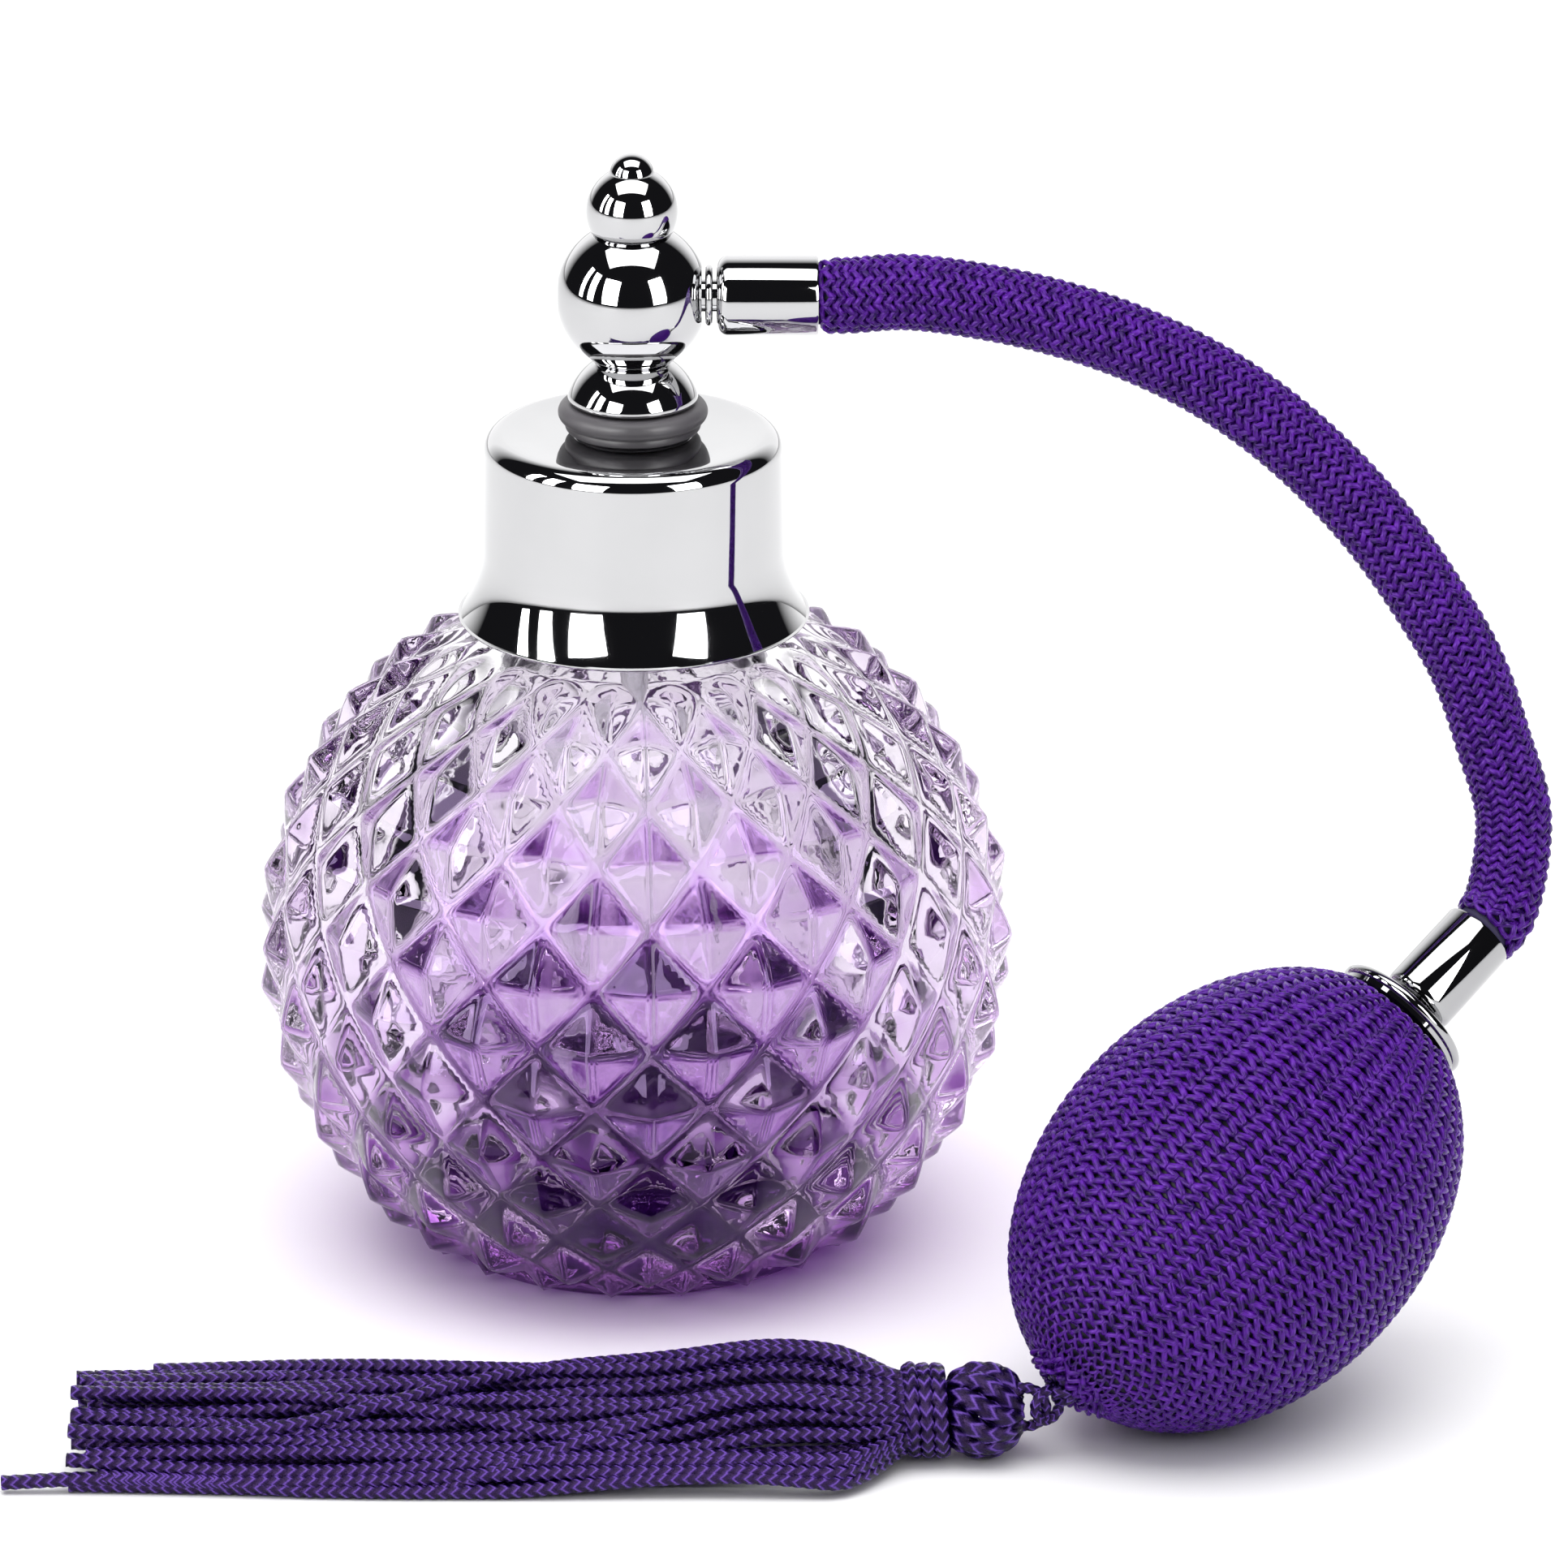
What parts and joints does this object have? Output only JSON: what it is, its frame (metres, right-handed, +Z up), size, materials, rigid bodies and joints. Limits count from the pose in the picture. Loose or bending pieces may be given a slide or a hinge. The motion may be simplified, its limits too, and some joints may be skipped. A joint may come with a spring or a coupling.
{
  "type": "perfume atomiser",
  "caption": "Round cut-glass perfume bottle with a metal screw closure, spray head, knitted air hose, squeeze bulb and cord tassel.",
  "frame": {"origin": "centre of the bottle's flat base, on the surface it stands on", "axes": "+Z up along the bottle's axis, +X along the hose where it leaves the spray head; the bulb and tassel lie towards -Y"},
  "size_m": [0.1514, 0.1128, 0.1187],
  "materials": {
    "ombre_glass": "polished pressed glass, clear at the shoulder to deep violet at the base",
    "chrome": "mirror",
    "brass": "plain",
    "clear_plastic": "natural, translucent",
    "seal_rubber": "satin, dark",
    "grey_rubber": "matt",
    "violet_knit": "knitted, satin yarn",
    "violet_cord": "braided, satin yarn"
  },
  "bodies": {
    "bottle": {"bottle_glass": "ombre_glass", "bottle_neck": "ombre_glass", "diamond_relief": "ombre_glass"},
    "gasket": {"neck_gasket": "clear_plastic"},
    "closure": {"collar_shell": "chrome", "threaded_insert": "clear_plastic", "liner_disc": "clear_plastic", "collar_boss": "chrome", "seal_ring": "seal_rubber"},
    "head": {"lower_dome": "chrome", "head_ball": "chrome", "spray_nozzle": "brass", "siphon_stem": "brass", "dip_tube": "clear_plastic", "air_inlet": "chrome", "upper_ferrule": "chrome", "hose_tube": "grey_rubber", "hose_sleeve": "violet_knit"},
    "finial": {"finial_ball": "chrome", "finial_tip": "chrome", "finial_stud": "brass"},
    "bulb": {"lower_ferrule": "chrome", "neck_barb": "brass", "bulb_flange": "chrome", "bulb_cover": "violet_knit", "bulb_rubber": "grey_rubber", "outlet_valve_cage": "brass", "intake_valve_cage": "brass", "end_eye": "violet_cord"},
    "thumb": {"thumb_panel": "violet_knit"},
    "fingers": {"finger_panel": "violet_knit"},
    "outlet_disc": {"outlet_valve_disc": "clear_plastic"},
    "intake_disc": {"intake_valve_disc": "clear_plastic"},
    "tassel": {"tassel_loop": "violet_cord", "tassel_head": "violet_cord", "tassel_binding": "violet_cord", "tassel_skirt": "violet_cord"}
  },
  "joints": [
    {"name": "closure_lift", "type": "slide", "parent": "bottle", "child": "gasket", "axis": [0, 0, 1], "range_m": [0, 0.085]},
    {"name": "closure_turn", "type": "hinge", "parent": "gasket", "child": "closure", "pos_m": [0, 0, 0.085], "axis": [0, 0, 1], "continuous": true},
    {"name": "head_swivel", "type": "hinge", "parent": "closure", "child": "head", "pos_m": [0, 0, 0.0903], "axis": [0, 0, 1], "continuous": true},
    {"name": "finial_turn", "type": "hinge", "parent": "head", "child": "finial", "pos_m": [0, 0, 0.1125], "axis": [0, 0, 1], "continuous": true},
    {"name": "hose_bend", "type": "hinge", "parent": "head", "child": "bulb", "pos_m": [0.03, -0.001, 0.1034], "axis": [0, 0, 1], "range_deg": [-12, 35], "stiffness_Nm_per_rad": 0.01, "deforming": ["hose_tube", "hose_sleeve"]},
    {"name": "bulb_squeeze", "type": "slide", "parent": "bulb", "child": "thumb", "axis": [-0.6039, 0.7971, 0], "range_m": [0, 0.006], "stiffness_N_per_m": 150},
    {"name": "finger_squeeze", "type": "slide", "parent": "bulb", "child": "fingers", "axis": [0.6039, -0.7971, 0], "range_m": [0, 0.006], "stiffness_N_per_m": 150},
    {"name": "outlet_valve_lift", "type": "slide", "parent": "bulb", "child": "outlet_disc", "axis": [0.6603, 0.5002, 0.5602], "range_m": [0, 0.002]},
    {"name": "intake_valve_lift", "type": "slide", "parent": "bulb", "child": "intake_disc", "axis": [0.6603, 0.5002, 0.5602], "range_m": [0, 0.0015]},
    {"name": "tassel_swing", "type": "hinge", "parent": "bulb", "child": "tassel", "pos_m": [0.04225, -0.06276, 0.00608], "axis": [0, 0, 1], "range_deg": [-10, 60]}
  ],
  "couplings": [
    {"joint": "finger_squeeze", "follows": "bulb_squeeze", "ratio": 1}
  ]
}
